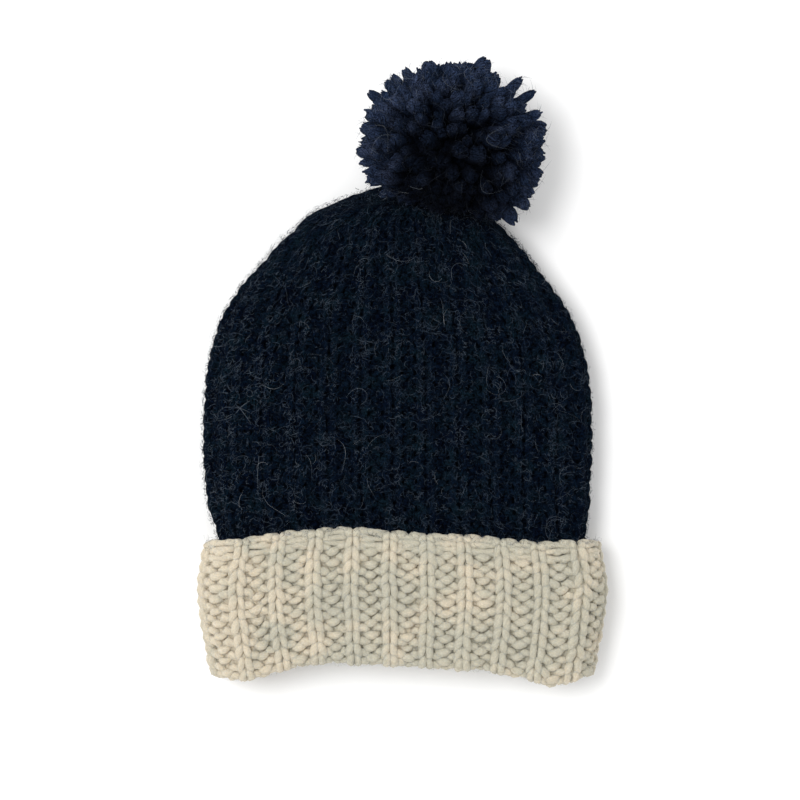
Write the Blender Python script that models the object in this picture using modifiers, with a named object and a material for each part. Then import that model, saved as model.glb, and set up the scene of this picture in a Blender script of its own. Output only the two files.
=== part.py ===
"""A knitted winter hat with a turned-up cuff and a pompom, lying flat on its back.

Lengths are in metres. +X runs across the hat, +Y from the cuff's fold to the pompom,
and +Z up from the surface that the hat lies on.
"""

import math
import random

import bmesh
import bpy
from mathutils import Matrix, Vector

# Cuff, as it lies flat
CUFF_WIDTH = 0.2235
CUFF_HEIGHT = 0.074
CUFF_THICKNESS = 0.042
CUFF_BULGE = 0.003
CUFF_TOP_ARCH = 0.0065
CUFF_FOLD_ARCH = 0.0095
CUFF_RIBS = 22
CUFF_RIB_RELIEF = 0.001
CUFF_RIB_PHASE = -0.34
FOLD_SPACING = 0.008

# Crown, as it lies flat
CROWN_WIDTH = 0.2095
CROWN_HEIGHT = 0.1825
CROWN_THICKNESS = 0.034
CROWN_BULGE = 0.004
CROWN_RIBS = 25
CROWN_RIB_RELIEF = 0.001
CROWN_RIB_PHASE = -0.155
COLOUR_CHANGE_DEPTH = 0.012
EYE_CAP_RADIUS = 0.007
EYE_TURN = math.radians(42)

# The knit itself, and the gap that two pieces keep where they meet
KNIT_WALL = 0.004
PIECE_GAP = 0.0003
COLOUR_JOIN_GAP = 0.0008

# Pompom and the tie that holds it
POM_WIDTH = 0.104
POM_LENGTH = 0.099
POM_THICKNESS = 0.094
POM_SQUASH = 0.003
POM_SEAT_DEPTH = 0.032
POM_SHIFT = 0.0025
LOCK_DEPTH = 0.010
LOCK_TAPER = 0.52
LOCK_VARIATION = 0.05
LOCK_SEED = 7
TIE_RADIUS = 0.004
TIE_CLEARANCE = 0.0005
TIE_KNOT_RADIUS = 0.0055
TIE_KNOT_LENGTH = 0.003
TIE_SIDES = 16

# Sections of the cuff's outer layer, from the fold to the cast-on edge.
# height: share of the way up. width, depth: shares of the cuff's width and thickness.
CUFF_COLUMNS = ("height", "width", "depth")
CUFF_SECTIONS = (
    (0.00, 0.945, 0.95),
    (0.33, 0.980, 1.00),
    (0.66, 1.000, 1.00),
    (1.00, 0.965, 0.98),
)

# Sections of the crown, from the cuff's top edge to the gathered cap.
# rise: share of the crown's height. shift, width: shares of half the crown's width.
# arch, lean: how far a row's ends lie below its middle, and its right end below its
# left, as shares of half the width. depth: share of the thickness. turn: how far the
# row is turned up to the front, as a share of the eye's turn. relief: share of the ribs'.
CROWN_COLUMNS = ("rise", "shift", "width", "arch", "lean", "depth", "turn", "relief")
CROWN_SECTIONS = (
    (0.110, -0.022, 0.995, 0.062, 0.000, 0.98, 0.00, 1.00),
    (0.300, -0.024, 1.008, 0.057, 0.000, 1.00, 0.00, 1.00),
    (0.520, -0.023, 0.982, 0.057, 0.000, 1.00, 0.00, 1.00),
    (0.660, -0.030, 0.915, 0.067, 0.000, 1.00, 0.00, 1.00),
    (0.780, -0.034, 0.797, 0.093, 0.000, 0.98, 0.00, 0.90),
    (0.870, -0.023, 0.695, 0.124, 0.000, 0.95, 0.05, 0.80),
    (0.940, -0.013, 0.585, 0.124, 0.004, 0.90, 0.15, 0.65),
    (0.980, 0.057, 0.430, 0.077, 0.036, 0.82, 0.40, 0.45),
    (0.995, 0.147, 0.255, 0.026, 0.026, 0.72, 0.80, 0.25),
)
EYE_SHIFT = 0.229
EYE_RISE = 0.980
EYE_LIFT = 0.40
# Share of the crown's height over which it widens out of the cuff
CROWN_SPREAD = 0.15

POINTS_PER_RIB = 4
FOLD_ROWS = 2


def add_material(name, colour, roughness):
    """A plain wool finish: a Principled BSDF with the yarn's colour."""
    material = bpy.data.materials.new(name)
    material.use_nodes = True
    shader = material.node_tree.nodes["Principled BSDF"]
    shader.inputs["Base Color"].default_value = (*colour, 1.0)
    shader.inputs["Roughness"].default_value = roughness
    shader.inputs["Metallic"].default_value = 0.0
    return material


def add_object(name, bm, material, collection, parent):
    """Puts a finished bmesh into a new object under the hat's empty."""
    mesh = bpy.data.meshes.new(name)
    bm.to_mesh(mesh)
    bm.free()
    mesh.materials.append(material)
    piece = bpy.data.objects.new(name, mesh)
    piece.parent = parent
    collection.objects.link(piece)
    return piece


def mix(low, high, share):
    return low + (high - low) * share


def smooth_step(value):
    value = min(max(value, 0.0), 1.0)
    return value * value * (3.0 - 2.0 * value)


def read_row(columns, row):
    return dict(zip(columns, row))


def row_between(columns, rows, key, value):
    """A table's row at a value of its key column, straight between its neighbours."""
    named = [read_row(columns, row) for row in rows]
    value = min(max(value, named[0][key]), named[-1][key])
    for low, high in zip(named, named[1:]):
        if value <= high[key]:
            share = (value - low[key]) / (high[key] - low[key])
            return {name: mix(low[name], high[name], share) for name in columns}
    return named[-1]


def loop_point(half_width, radius, turn):
    """A point of a flat loop with round sides, and its outward normal, in x and z.

    turn runs from 0 to 1 once round the loop at an even pace, from the middle of
    the front towards +X.
    """
    straight = max(half_width - radius, 0.0)
    length = 4.0 * straight + 2.0 * math.pi * radius
    along = (turn % 1.0) * length
    bend = math.pi * radius
    if along < straight:
        return Vector((along, radius)), Vector((0.0, 1.0))
    along -= straight
    if along < bend:
        angle = along / radius
        normal = Vector((math.sin(angle), math.cos(angle)))
        return Vector((straight, 0.0)) + radius * normal, normal
    along -= bend
    if along < 2.0 * straight:
        return Vector((straight - along, -radius)), Vector((0.0, -1.0))
    along -= 2.0 * straight
    if along < bend:
        angle = along / radius
        normal = Vector((-math.sin(angle), -math.cos(angle)))
        return Vector((-straight, 0.0)) + radius * normal, normal
    return Vector((along - bend - straight, radius)), Vector((0.0, 1.0))


def rib_turns(ribs, phase):
    """The points round a loop, four a rib: two on its crest and two in its groove."""
    count = ribs * POINTS_PER_RIB
    turns = []
    for index in range(count):
        crest = index % POINTS_PER_RIB < POINTS_PER_RIB // 2
        place = (index - 0.5) / POINTS_PER_RIB + phase
        turns.append((place / ribs, 1.0 if crest else -1.0))
    return turns


def knit_point(section, turn, offset, wave):
    """A point of the knit's middle surface.

    section holds half_width and radius of the loop that the knit follows, the
    middle's x and z, its y line, arch, lean, bulge and slope, and swing, the angle
    by which the knit has gone round a fold. offset is the knit's distance from the
    loop, and wave the rib's height there.
    """
    place, normal = loop_point(section["half_width"], section["radius"], turn)
    reach = offset + wave
    across = place.x / section["half_width"]
    side = normal * (reach * math.cos(section["swing"]))
    front = 0.5 * (1.0 + normal.y)
    x = section["x"] + place.x + side.x
    z = place.y + side.y + section["bulge"] * front * (1.0 - across * across)
    y = section["y"] - section["arch"] * across * across - section["lean"] * across
    y -= reach * math.sin(section["swing"])
    y -= section["slope"] * z
    return Vector((x, y, section["z"] + z))


def cuff_core(height):
    """The loop midway between the cuff's two layers at a share of its height."""
    row = row_between(CUFF_COLUMNS, CUFF_SECTIONS, "height", height)
    half_wall = 0.5 * KNIT_WALL + CUFF_RIB_RELIEF
    outside = 0.5 * FOLD_SPACING + half_wall
    half_depth = 0.5 * CUFF_THICKNESS * row["depth"]
    return {
        "half_width": 0.5 * CUFF_WIDTH * row["width"] - outside,
        "radius": half_depth - outside,
        "x": 0.0,
        "y": outside + height * (CUFF_HEIGHT - outside),
        "z": half_depth,
        "arch": mix(CUFF_FOLD_ARCH, CUFF_TOP_ARCH, height),
        "lean": 0.0,
        "bulge": CUFF_BULGE,
        "slope": 0.0,
        "swing": 0.0,
    }


def height_at(y):
    """The share of the cuff's height at a y of its middle line."""
    low = cuff_core(0.0)["y"]
    high = cuff_core(1.0)["y"]
    return (y - low) / (high - low)


def crown_loop(row):
    """The loop of the crown's middle surface for one row of its table."""
    half_wall = 0.5 * KNIT_WALL + CROWN_RIB_RELIEF
    half_crown = 0.5 * CROWN_WIDTH
    radius = 0.5 * CROWN_THICKNESS * row["depth"] - half_wall
    return {
        "half_width": half_crown * row["width"] - half_wall,
        "radius": radius,
        "x": half_crown * row["shift"],
        "y": CUFF_HEIGHT + CROWN_HEIGHT * row["rise"],
        "z": radius + half_wall,
        "arch": half_crown * row["arch"],
        "lean": half_crown * row["lean"],
        "bulge": CROWN_BULGE * row["relief"],
        "slope": math.tan(EYE_TURN) * row["turn"],
        "swing": 0.0,
    }


def eye_loop(radius):
    """A round loop in the plane of the crown's eye."""
    return {
        "half_width": radius,
        "radius": radius,
        "x": 0.5 * CROWN_WIDTH * EYE_SHIFT,
        "y": CUFF_HEIGHT + CROWN_HEIGHT * EYE_RISE,
        "z": CROWN_THICKNESS * EYE_LIFT,
        "arch": 0.0,
        "lean": 0.0,
        "bulge": 0.0,
        "slope": 0.0,
        "swing": 0.0,
    }


def eye_axis():
    """The way the eye faces: along the crown and up to its front."""
    return Vector((0.0, math.cos(EYE_TURN), math.sin(EYE_TURN)))


def eye_point(turn, radius):
    """A point round the eye, in the plane square to its axis."""
    loop = eye_loop(radius)
    place, _ = loop_point(loop["half_width"], loop["radius"], turn)
    upward = Vector((0.0, -math.sin(EYE_TURN), math.cos(EYE_TURN)))
    middle = Vector((loop["x"], loop["y"], loop["z"]))
    return middle + Vector((place.x, 0.0, 0.0)) + upward * place.y


def loft(rows):
    """An open surface through rows of points, each row a closed loop."""
    bm = bmesh.new()
    rings = [[bm.verts.new(point) for point in row] for row in rows]
    for low, high in zip(rings, rings[1:]):
        for index in range(len(low)):
            following = (index + 1) % len(low)
            bm.faces.new((low[index], low[following], high[following], high[index]))
    return bm


def thicken(piece, thickness):
    """Gives an open knit surface its wall, half to each side."""
    solidify = piece.modifiers.new("wall", "SOLIDIFY")
    solidify.thickness = thickness
    solidify.offset = 0.0
    solidify.use_quality_normals = True
    return solidify


def build_cuff(collection, parent):
    """The cuff: one knit from the cast-on edge down, round its fold and up again."""
    turns = rib_turns(CUFF_RIBS, CUFF_RIB_PHASE)
    half_spacing = 0.5 * FOLD_SPACING
    heights = [row[0] for row in CUFF_SECTIONS]
    rows = [(cuff_core(height), 0.0) for height in reversed(heights[1:])]
    for index in range(FOLD_ROWS + 2):
        rows.append((cuff_core(0.0), math.pi * index / (FOLD_ROWS + 1)))
    top = height_at(CUFF_HEIGHT - COLOUR_CHANGE_DEPTH - 0.5 * COLOUR_JOIN_GAP)
    for height in [height for height in heights if 0.0 < height < top] + [top]:
        rows.append((cuff_core(height), math.pi))
    points = []
    for core, swing in rows:
        core["swing"] = swing
        row = [knit_point(core, turn, half_spacing, CUFF_RIB_RELIEF * rib) for turn, rib in turns]
        points.append(row)
    material = add_material("cream wool", (0.60, 0.54, 0.42), 0.9)
    piece = add_object("cuff", loft(points), material, collection, parent)
    thicken(piece, KNIT_WALL)
    return piece


def crown_loops():
    """The crown's loops from the colour change up to the cap, with each one's ribs.

    Inside the cuff the crown carries on from the cuff's inner layer: it keeps that
    layer's offset from the loop between the layers, and loses it as it widens.
    """
    held_offset = -0.5 * FOLD_SPACING
    loops = []
    for y in (CUFF_HEIGHT - COLOUR_CHANGE_DEPTH + 0.5 * COLOUR_JOIN_GAP, CUFF_HEIGHT):
        loops.append((cuff_core(height_at(y)), held_offset, 1.0))
    for values in CROWN_SECTIONS:
        row = read_row(CROWN_COLUMNS, values)
        free = crown_loop(row)
        held = cuff_core(1.0)
        share = smooth_step(row["rise"] / CROWN_SPREAD)
        for name in ("half_width", "radius", "x", "z", "arch", "bulge"):
            free[name] = mix(held[name], free[name], share)
        loops.append((free, mix(held_offset, 0.0, share), row["relief"]))
    return loops


def build_crown(collection, parent):
    """The crown: a ribbed tube from inside the cuff to the gathered eye."""
    turns = rib_turns(CROWN_RIBS, CROWN_RIB_PHASE)
    points = []
    for loop, offset, relief in crown_loops():
        wave = CROWN_RIB_RELIEF * relief
        points.append([knit_point(loop, turn, offset, wave * rib) for turn, rib in turns])
    for radius in (EYE_CAP_RADIUS, TIE_RADIUS + TIE_CLEARANCE):
        points.append([eye_point(turn, radius) for turn, _ in turns])
    bm = loft(points)
    bmesh.ops.reverse_faces(bm, faces=bm.faces)
    material = add_material("navy wool", (0.006, 0.010, 0.016), 0.95)
    piece = add_object("crown", bm, material, collection, parent)
    thicken(piece, KNIT_WALL)
    return piece


def crown_reach(crown):
    """How far the crown reaches along the eye's axis, from the world's origin."""
    bpy.context.view_layer.update()
    graph = bpy.context.evaluated_depsgraph_get()
    mesh = crown.evaluated_get(graph).to_mesh()
    reach = max(vertex.co.dot(eye_axis()) for vertex in mesh.vertices)
    crown.evaluated_get(graph).to_mesh_clear()
    return reach


def pom_centre(seat):
    """The pompom's middle: on its seat on the crown and on the surface below."""
    axis = eye_axis()
    z = 0.5 * POM_THICKNESS - POM_SQUASH
    along = seat + POM_SEAT_DEPTH
    return Vector((eye_loop(1.0)["x"] + POM_SHIFT, (along - z * axis.z) / axis.y, z))


def pom_radius(direction):
    """The distance from the pompom's middle to its outside in one direction."""
    x = direction.x / (0.5 * POM_WIDTH)
    y = direction.y / (0.5 * POM_LENGTH)
    z = direction.z / (0.5 * POM_THICKNESS)
    return 1.0 / math.sqrt(x * x + y * y + z * z)


def flattened(direction, distance, centre):
    """Keeps a point of the pompom above the surface and off the crown's top."""
    down = -direction.z
    if down > 0.0:
        distance = min(distance, centre.z / down)
    back = -direction.dot(eye_axis())
    if back > 0.0:
        distance = min(distance, POM_SEAT_DEPTH / back)
    return centre + direction * distance


def build_pompom(collection, parent, centre):
    """The pompom: a ball of locks, each one drawn out of a face of its head."""
    chance = random.Random(LOCK_SEED)
    bm = bmesh.new()
    bmesh.ops.create_icosphere(bm, subdivisions=3, radius=1.0)
    roots = list(bm.verts)
    drawn = bmesh.ops.extrude_discrete_faces(bm, faces=bm.faces[:])
    for face in drawn["faces"]:
        middle = face.calc_center_median()
        length = 1.0 - LOCK_VARIATION * chance.random()
        for vertex in face.verts:
            direction = middle.lerp(vertex.co, LOCK_TAPER).normalized()
            vertex.co = flattened(direction, pom_radius(direction) * length, centre)
    for vertex in roots:
        direction = vertex.co.normalized()
        vertex.co = flattened(direction, pom_radius(direction) - LOCK_DEPTH, centre)
    material = add_material("navy pompom wool", (0.006, 0.010, 0.018), 0.95)
    return add_object("pompom", bm, material, collection, parent)


def build_tie(collection, parent, seat):
    """The tie: a stem through the crown's eye with a knot below it, turned in one."""
    loop = eye_loop(1.0)
    eye = Vector((loop["x"], loop["y"], loop["z"]))
    axis = eye_axis()
    top = seat - PIECE_GAP - eye.dot(axis)
    under = -0.5 * KNIT_WALL - PIECE_GAP
    foot = under - TIE_KNOT_LENGTH
    profile = (
        (0.0, top),
        (TIE_RADIUS, top),
        (TIE_RADIUS, under),
        (TIE_KNOT_RADIUS, under),
        (TIE_KNOT_RADIUS, foot),
        (0.0, foot),
    )
    bm = bmesh.new()
    ring = [bm.verts.new((x, 0.0, z)) for x, z in profile]
    for first, second in zip(ring, ring[1:]):
        bm.edges.new((first, second))
    material = add_material("tie yarn", (0.006, 0.010, 0.018), 0.95)
    piece = add_object("pom_tie", bm, material, collection, parent)
    screw = piece.modifiers.new("turned", "SCREW")
    screw.steps = TIE_SIDES
    screw.render_steps = TIE_SIDES
    screw.use_merge_vertices = True
    screw.merge_threshold = 0.00001
    turn = Vector((0.0, 0.0, 1.0)).rotation_difference(axis)
    piece.matrix_local = Matrix.Translation(eye) @ turn.to_matrix().to_4x4()
    return piece


def centre_on_origin(pieces, parent):
    """Moves the hat so that its box stands centred on the origin, on z = 0."""
    bpy.context.view_layer.update()
    graph = bpy.context.evaluated_depsgraph_get()
    points = []
    for piece in pieces:
        evaluated = piece.evaluated_get(graph)
        mesh = evaluated.to_mesh()
        points.extend(evaluated.matrix_world @ vertex.co for vertex in mesh.vertices)
        evaluated.to_mesh_clear()
    low = [min(point[axis] for point in points) for axis in range(3)]
    high = [max(point[axis] for point in points) for axis in range(3)]
    parent.location = (-0.5 * (low[0] + high[0]), -0.5 * (low[1] + high[1]), -low[2])
    bpy.context.view_layer.update()


def main():
    for item in list(bpy.data.objects):
        bpy.data.objects.remove(item, do_unlink=True)
    collection = bpy.data.collections.new("pom-pom hat")
    bpy.context.scene.collection.children.link(collection)
    hat = bpy.data.objects.new("hat", None)
    collection.objects.link(hat)
    cuff = build_cuff(collection, hat)
    crown = build_crown(collection, hat)
    seat = crown_reach(crown) + PIECE_GAP
    pompom = build_pompom(collection, hat, pom_centre(seat))
    tie = build_tie(collection, hat, seat)
    centre_on_origin((cuff, crown, pompom, tie), hat)


main()
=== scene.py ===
"""A knitted pom-pom hat lying flat: its yarn, pompom, loose fibres, light and camera.

Lengths are in metres. +X runs across the hat, +Y from the cuff's fold to the pompom,
and +Z up from the surface that the hat lies on. The cuff and the crown are knitted
here stitch by stitch: each row is one tube of yarn that follows its loops.
"""

import math

import bpy
import numpy as np
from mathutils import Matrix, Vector


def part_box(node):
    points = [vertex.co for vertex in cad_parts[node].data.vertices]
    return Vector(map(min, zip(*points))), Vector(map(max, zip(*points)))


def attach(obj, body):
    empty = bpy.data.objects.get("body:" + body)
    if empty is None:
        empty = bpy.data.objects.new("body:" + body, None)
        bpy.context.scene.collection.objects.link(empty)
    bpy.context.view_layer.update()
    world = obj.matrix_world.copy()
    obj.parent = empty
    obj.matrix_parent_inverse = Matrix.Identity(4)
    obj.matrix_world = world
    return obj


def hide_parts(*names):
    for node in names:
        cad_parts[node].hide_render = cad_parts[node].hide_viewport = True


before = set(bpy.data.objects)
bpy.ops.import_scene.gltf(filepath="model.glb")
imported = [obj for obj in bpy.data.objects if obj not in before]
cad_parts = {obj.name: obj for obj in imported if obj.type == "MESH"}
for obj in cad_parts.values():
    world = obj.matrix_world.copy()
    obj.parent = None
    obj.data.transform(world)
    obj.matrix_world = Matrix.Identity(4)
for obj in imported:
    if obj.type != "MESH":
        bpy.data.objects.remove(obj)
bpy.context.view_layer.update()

# Cuff, as it lies flat
CUFF_WIDTH = 0.2235
CUFF_HEIGHT = 0.074
CUFF_THICKNESS = 0.042
CUFF_BULGE = 0.003
CUFF_TOP_ARCH = 0.0065
CUFF_FOLD_ARCH = 0.0095
CUFF_RIBS = 22
CUFF_RIB_PHASE = -0.34
FOLD_SPACING = 0.008
CUFF_SINK = 0.0011

# Crown, as it lies flat
CROWN_WIDTH = 0.2095
CROWN_HEIGHT = 0.1825
CROWN_THICKNESS = 0.034
CROWN_BULGE = 0.004
CROWN_RIBS = 25
CROWN_RIB_PHASE = -0.155
COLOUR_CHANGE_DEPTH = 0.012
EYE_CAP_RADIUS = 0.007
EYE_TURN = math.radians(42)
EYE_SHIFT = 0.229
EYE_RISE = 0.980
EYE_LIFT = 0.40
CROWN_SPREAD = 0.15
HALF_WALL = 0.003

# Pompom
POM_WIDTH = 0.104
POM_LENGTH = 0.099
POM_THICKNESS = 0.094
POM_SQUASH = 0.003
POM_SEAT_DEPTH = 0.032
POM_SHIFT = 0.0025
POM_FRONT = np.array((-0.02, -0.04, 0.999))

# Sections of the cuff's layers, from the fold to the cast-on edge
CUFF_COLUMNS = ("height", "width", "depth")
CUFF_SECTIONS = (
    (0.00, 0.945, 0.95),
    (0.33, 0.980, 1.00),
    (0.66, 1.000, 1.00),
    (1.00, 0.965, 0.98),
)

# The cuff's lower and upper lines, from its left to its right. fold: how far the fold lies
# below its middle. top: how much further than its arch the top edge lies down.
LINE_COLUMNS = ("across", "fold", "top")
CUFF_LINES = (
    (-1.00, 0.0062, 0.0000),
    (-0.92, 0.0078, 0.0000),
    (-0.80, 0.0068, -0.0004),
    (-0.63, 0.0018, -0.0012),
    (-0.46, -0.0010, -0.0018),
    (-0.25, -0.0008, -0.0014),
    (-0.02, -0.0004, 0.0014),
    (0.24, 0.0018, 0.0021),
    (0.47, 0.0028, 0.0025),
    (0.59, 0.0056, 0.0034),
    (0.70, 0.0074, 0.0036),
    (0.81, 0.0112, 0.0022),
    (0.90, 0.0092, 0.0004),
    (1.00, 0.0060, 0.0000),
)

# Sections of the crown, from the cuff's top edge to the gathered cap
CROWN_COLUMNS = ("rise", "shift", "width", "arch", "lean", "depth", "turn", "relief")
CROWN_SECTIONS = (
    (0.110, -0.022, 0.995, 0.062, 0.000, 0.98, 0.00, 1.00),
    (0.300, -0.024, 1.008, 0.057, 0.000, 1.00, 0.00, 1.00),
    (0.520, -0.023, 0.982, 0.057, 0.000, 1.00, 0.00, 1.00),
    (0.660, -0.030, 0.915, 0.067, 0.000, 1.00, 0.00, 1.00),
    (0.780, -0.034, 0.797, 0.093, 0.000, 0.98, 0.00, 0.90),
    (0.870, -0.023, 0.695, 0.124, 0.000, 0.95, 0.05, 0.80),
    (0.940, -0.013, 0.585, 0.124, 0.004, 0.90, 0.15, 0.65),
    (0.980, 0.057, 0.430, 0.077, 0.036, 0.82, 0.40, 0.45),
    (0.995, 0.147, 0.255, 0.026, 0.026, 0.72, 0.80, 0.25),
)

# Rows of the knit, and the share of a rib that its knit column takes
CUFF_ROW = 0.00637
CUFF_FIRST_ROW = 0.0063
CUFF_KNIT_SHARE = 0.42
CROWN_ROW = 0.0074
CROWN_KNIT_SHARE = 0.66

# How unevenly the yarn is knitted, as shares or in metres
UNEVEN_LEAN = 0.22
UNEVEN_PLACE = 0.05
UNEVEN_HEIGHT = 0.07
UNEVEN_TILT = 0.5
UNEVEN_YARN = 0.09
UNEVEN_RISE = 0.00020
UNEVEN_ROW = 0.00035
PURL_FLATNESS = 0.10

# edge_give: how much is left of a loop's reach past the cast-on edge. rib_blend: how
# softly what lies on the knit follows its ribs. surface_step: a short way out of the knit.
EDGE_GIVE = 0.15
RIB_BLEND = 0.12
SURFACE_STEP = 0.001
CLOSED_RADIUS = 0.00001

STRANDS = 300
STRAND_RADIUS = 0.0038
STRAND_FOOT = 0.35
FRAYS = 8
YARN_TWIST = 55.0
TUBE_UV_GAP = 0.37
FLOOR_GAP = 0.0002
TUFT = (-0.0875, -0.0195, 0.0345)

Y_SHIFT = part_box("cuff")[1].y - CUFF_HEIGHT
chance = np.random.default_rng(11)


# The surfaces that the knit follows

def columns_of(columns, rows):
    """A table as one array for each named column."""
    return dict(zip(columns, np.array(rows, float).T))


def eased(keys, values, at):
    """Values at new keys, on a smooth curve through a table's rows."""
    slope = np.gradient(values, keys)
    at = np.clip(at, keys[0], keys[-1])
    low = np.clip(np.searchsorted(keys, at) - 1, 0, len(keys) - 2)
    step = keys[low + 1] - keys[low]
    t = (at - keys[low]) / step
    start = (2 * t**3 - 3 * t**2 + 1) * values[low] + (t**3 - 2 * t**2 + t) * step * slope[low]
    end = (3 * t**2 - 2 * t**3) * values[low + 1] + (t**3 - t**2) * step * slope[low + 1]
    return start + end


def unit(vectors, least=0.0):
    """Vectors at length 1. least: a tiny length that is added where one may be zero."""
    return vectors / (np.linalg.norm(vectors, axis=-1, keepdims=True) + least)


def keep_off_floor(points, thickness=0.0):
    """Lifts the points that lie lower than their thickness, up to it."""
    points[..., 2] = np.maximum(points[..., 2], thickness + FLOOR_GAP)


def loop_place(half_width, radius, turn):
    """Points of a flat loop with round sides and their outward normals, in x and z."""
    straight = np.maximum(half_width - radius, 0.0)
    bend = np.pi * radius
    along = (turn % 1.0) * (4.0 * straight + 2.0 * bend)
    right = np.clip((along - straight) / radius, 0.0, np.pi)
    left = np.clip((along - 3.0 * straight - bend) / radius, 0.0, np.pi)
    angle = right + left
    normal_x, normal_z = np.sin(angle), np.cos(angle)
    first = along < straight
    back = (along >= straight + bend) & (along < 3.0 * straight + bend)
    last = along >= 3.0 * straight + 2.0 * bend
    middle = np.where(along < 2.0 * straight + bend, straight, -straight)
    middle = np.where(first, along, middle)
    middle = np.where(back, 2.0 * straight + bend - along, middle)
    middle = np.where(last, along - 4.0 * straight - 2.0 * bend, middle)
    return middle + radius * normal_x, radius * normal_z, normal_x, normal_z


def knit_place(sec, turn, reach):
    """Points of a knit at a reach from its loop. sec holds the loop's measures."""
    x, z, normal_x, normal_z = loop_place(sec["half_width"], sec["radius"], turn)
    across = x / sec["half_width"]
    turned = reach * np.cos(sec["swing"])
    front = 0.5 * (1.0 + normal_z)
    px = sec["x"] + x + normal_x * turned
    pz = z + normal_z * turned + sec["bulge"] * front * (1.0 - across**2)
    fold = eased(LINES["across"], LINES["fold"], across) - CUFF_FOLD_ARCH * across**2
    top = eased(LINES["across"], LINES["top"], across)
    py = sec["y"] - sec["arch"] * across**2 - sec["lean"] * across
    py = py - sec["fold"] * fold - sec["top"] * top
    py = py - reach * np.sin(sec["swing"]) - sec["slope"] * pz
    pz = np.maximum(pz + sec["z"], FLOOR_GAP)
    return np.stack(np.broadcast_arrays(px, py + Y_SHIFT, pz), axis=-1)


CUFF_OUTSIDE = 0.5 * FOLD_SPACING + HALF_WALL
CUFF_LAYER = CUFF_HEIGHT - CUFF_OUTSIDE
FOLD_LENGTH = 0.5 * np.pi * FOLD_SPACING
CUFF = columns_of(CUFF_COLUMNS, CUFF_SECTIONS)
LINES = columns_of(LINE_COLUMNS, CUFF_LINES)


def cuff_core(height, swing):
    """The loop between the cuff's layers at shares of its height."""
    half_depth = 0.5 * CUFF_THICKNESS * eased(CUFF["height"], CUFF["depth"], height)
    width = eased(CUFF["height"], CUFF["width"], height)
    return {
        "half_width": 0.5 * CUFF_WIDTH * width - CUFF_OUTSIDE,
        "radius": half_depth - CUFF_OUTSIDE,
        "x": 0.0,
        "y": CUFF_OUTSIDE + height * CUFF_LAYER,
        "z": half_depth,
        "arch": CUFF_FOLD_ARCH + (CUFF_TOP_ARCH - CUFF_FOLD_ARCH) * height,
        "lean": 0.0,
        "fold": np.clip(1.0 - height, 0.0, 1.0),
        "top": np.clip(height, 0.0, 1.0) ** 2,
        "bulge": CUFF_BULGE,
        "slope": 0.0,
        "swing": swing,
    }


def cuff_place(turn, along, rise):
    """Points of the cuff: along the knit from its cast-on edge, and rise above it."""
    down = 1.0 - np.clip(along, -0.01, CUFF_LAYER) / CUFF_LAYER
    up = np.maximum(along - CUFF_LAYER - FOLD_LENGTH, 0.0) / CUFF_LAYER
    swing = np.clip((along - CUFF_LAYER) / FOLD_LENGTH, 0.0, 1.0) * np.pi
    core = cuff_core(np.where(along < CUFF_LAYER, down, up), swing)
    sink = CUFF_SINK * np.minimum(2.0 - swing / (0.5 * np.pi), 1.0)
    return knit_place(core, turn, 0.5 * FOLD_SPACING + rise - sink)


def crown_rows():
    """The crown's loops as arrays over y, from the colour change to the cap."""
    half = 0.5 * CROWN_WIDTH
    row = columns_of(CROWN_COLUMNS, CROWN_SECTIONS)
    radius = 0.5 * CROWN_THICKNESS * row["depth"] - HALF_WALL
    free = {
        "half_width": half * row["width"] - HALF_WALL,
        "radius": radius,
        "x": half * row["shift"],
        "z": radius + HALF_WALL,
        "arch": half * row["arch"],
        "lean": half * row["lean"],
        "fold": 0.0 * radius,
        "top": 0.0 * radius,
        "bulge": CROWN_BULGE * row["relief"],
        "slope": math.tan(EYE_TURN) * row["turn"],
        "offset": 0.0 * radius,
        "size": row["relief"],
    }
    share = np.clip(row["rise"] / CROWN_SPREAD, 0.0, 1.0)
    share = share * share * (3.0 - 2.0 * share)
    starts = np.array((CUFF_HEIGHT - COLOUR_CHANGE_DEPTH, CUFF_HEIGHT))
    held = cuff_core((starts - CUFF_OUTSIDE) / CUFF_LAYER, 0.0)
    held["offset"] = -0.5 * FOLD_SPACING
    held["top"] = 0.0
    held["size"] = 1.0
    rows = {"y": np.concatenate((starts, CUFF_HEIGHT + CROWN_HEIGHT * row["rise"]))}
    for name in free:
        first = np.broadcast_to(held[name], 2)
        fixed = name in ("lean", "slope", "size")
        rest = free[name] if fixed else first[1] + (free[name] - first[1]) * share
        rows[name] = np.concatenate((first, rest))
    return rows


CROWN = crown_rows()
EYE_AXIS = np.array((0.0, math.cos(EYE_TURN), math.sin(EYE_TURN)))
EYE_SIDE = np.array((1.0, 0.0, 0.0))
EYE_UP = np.array((0.0, -math.sin(EYE_TURN), math.cos(EYE_TURN)))
EYE = np.array((
    0.5 * CROWN_WIDTH * EYE_SHIFT,
    CUFF_HEIGHT + CROWN_HEIGHT * EYE_RISE + Y_SHIFT,
    CROWN_THICKNESS * EYE_LIFT,
))
CAP_RUN = 0.015
CROWN_FOOT = CUFF_HEIGHT - COLOUR_CHANGE_DEPTH
CROWN_TOP = CUFF_HEIGHT + CROWN_HEIGHT * CROWN_SECTIONS[-1][0]


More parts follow.
